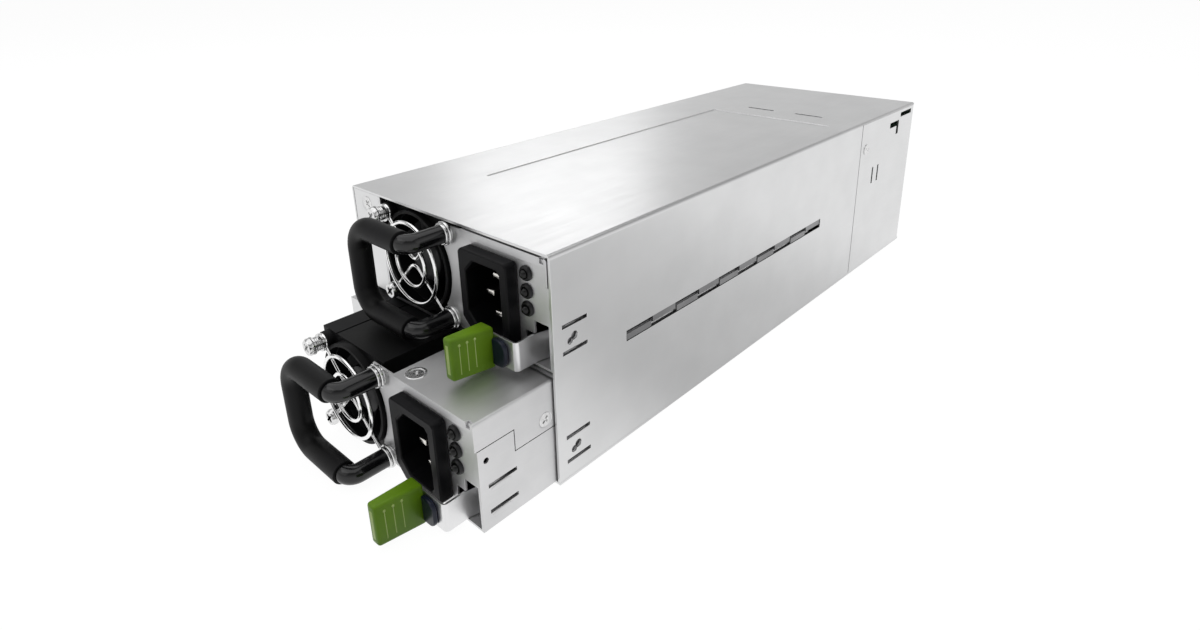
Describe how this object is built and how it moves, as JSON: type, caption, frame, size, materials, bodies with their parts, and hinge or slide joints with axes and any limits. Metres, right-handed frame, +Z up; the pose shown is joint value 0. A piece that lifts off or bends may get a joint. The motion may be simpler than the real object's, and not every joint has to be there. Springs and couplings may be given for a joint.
{
  "type": "redundant server power supply",
  "caption": "Sheet-metal cage with hot-swap power modules, each with a ducted fan, wire guard, bent handle, mains inlet, lamps and green release latch.",
  "frame": {"origin": "middle of the cage's underside", "axes": "+X to the right of the front, +Y from the front to the back, +Z up"},
  "size_m": [0.1137, 0.3472, 0.084],
  "materials": {
    "cage_steel": "galvanised sheet, soft satin",
    "module_steel": "galvanised sheet, satin",
    "spring_steel": "bright spring steel",
    "fastener_steel": "bright plated",
    "guard_wire": "chromed wire",
    "contact_metal": "nickel plated",
    "duct_plastic": "fine matt moulding",
    "fan_plastic": "black moulding",
    "bar_paint": "gloss black paint",
    "grip_sleeve": "matt grey-black sleeve",
    "inlet_plastic": "dark grey moulding",
    "lamp_lens": "dark clear dome",
    "latch_core": "dark blue moulding",
    "latch_tab": "green moulding",
    "circuit_board": "solder mask",
    "winding": "ferrite and tape",
    "capacitor_sleeve": "shrink sleeve",
    "sink_metal": "extruded"
  },
  "bodies": {
    "cage": {"cage_shell": "cage_steel", "cage_floor": "cage_steel", "divider_shelf": "cage_steel", "channel_wall": "cage_steel", "channel_cover_upper": "cage_steel", "channel_cover_lower": "cage_steel", "rear_housing": "cage_steel", "outlet_bush": "duct_plastic", "backplane_board": "circuit_board", "bay_sockets": "fan_plastic", "output_board": "circuit_board", "output_posts": "contact_metal", "cage_screws": "fastener_steel"},
    "lower_module": {"lower_case_base": "module_steel", "lower_case_cover": "module_steel", "lower_fan_duct": "duct_plastic", "lower_fan_frame": "fan_plastic", "lower_fan_guard": "guard_wire", "lower_guard_screws": "fastener_steel", "lower_handle_bar": "bar_paint", "lower_handle_grip": "grip_sleeve", "lower_handle_collars": "fastener_steel", "lower_inlet_shroud": "inlet_plastic", "lower_inlet_pins": "contact_metal", "lower_lamp_bezels": "fan_plastic", "lower_lamp_lenses": "lamp_lens", "lower_latch_rivets": "fastener_steel", "lower_main_board": "circuit_board", "lower_transformer": "winding", "lower_bulk_capacitors": "capacitor_sleeve", "lower_heat_sinks": "sink_metal", "lower_case_screws": "fastener_steel"},
    "lower_fan": {"lower_fan_rotor": "fan_plastic"},
    "lower_latch": {"lower_latch_strip": "spring_steel", "lower_latch_core": "latch_core", "lower_latch_tab": "latch_tab"},
    "upper_module": {"upper_case_base": "module_steel", "upper_case_cover": "module_steel", "upper_fan_duct": "duct_plastic", "upper_fan_frame": "fan_plastic", "upper_fan_guard": "guard_wire", "upper_guard_screws": "fastener_steel", "upper_handle_bar": "bar_paint", "upper_handle_grip": "grip_sleeve", "upper_handle_collars": "fastener_steel", "upper_inlet_shroud": "inlet_plastic", "upper_inlet_pins": "contact_metal", "upper_lamp_bezels": "fan_plastic", "upper_lamp_lenses": "lamp_lens", "upper_latch_rivets": "fastener_steel", "upper_main_board": "circuit_board", "upper_transformer": "winding", "upper_bulk_capacitors": "capacitor_sleeve", "upper_heat_sinks": "sink_metal", "upper_case_screws": "fastener_steel"},
    "upper_fan": {"upper_fan_rotor": "fan_plastic"},
    "upper_latch": {"upper_latch_strip": "spring_steel", "upper_latch_core": "latch_core", "upper_latch_tab": "latch_tab"}
  },
  "joints": [
    {"name": "lower_module_slide", "type": "slide", "parent": "cage", "child": "lower_module", "axis": [0, -1, 0], "range_m": [-0.032, 0.16]},
    {"name": "lower_fan_spin", "type": "hinge", "parent": "lower_module", "child": "lower_fan", "pos_m": [-0.0157, -0.1624, 0.021], "axis": [0, 1, 0], "continuous": true},
    {"name": "lower_latch_press", "type": "hinge", "parent": "lower_module", "child": "lower_latch", "pos_m": [0.0537, -0.1354, 0.00745], "axis": [0, 0, -1], "range_deg": [0, 3.5], "stiffness_Nm_per_rad": 8, "springref_deg": -0.57},
    {"name": "upper_module_slide", "type": "slide", "parent": "cage", "child": "upper_module", "axis": [0, -1, 0], "range_m": [0, 0.192]},
    {"name": "upper_fan_spin", "type": "hinge", "parent": "upper_module", "child": "upper_fan", "pos_m": [-0.0157, -0.1304, 0.0625], "axis": [0, 1, 0], "continuous": true},
    {"name": "upper_latch_press", "type": "hinge", "parent": "upper_module", "child": "upper_latch", "pos_m": [0.0537, -0.1034, 0.04895], "axis": [0, 0, -1], "range_deg": [0, 3.5], "stiffness_Nm_per_rad": 8, "springref_deg": -0.57}
  ]
}
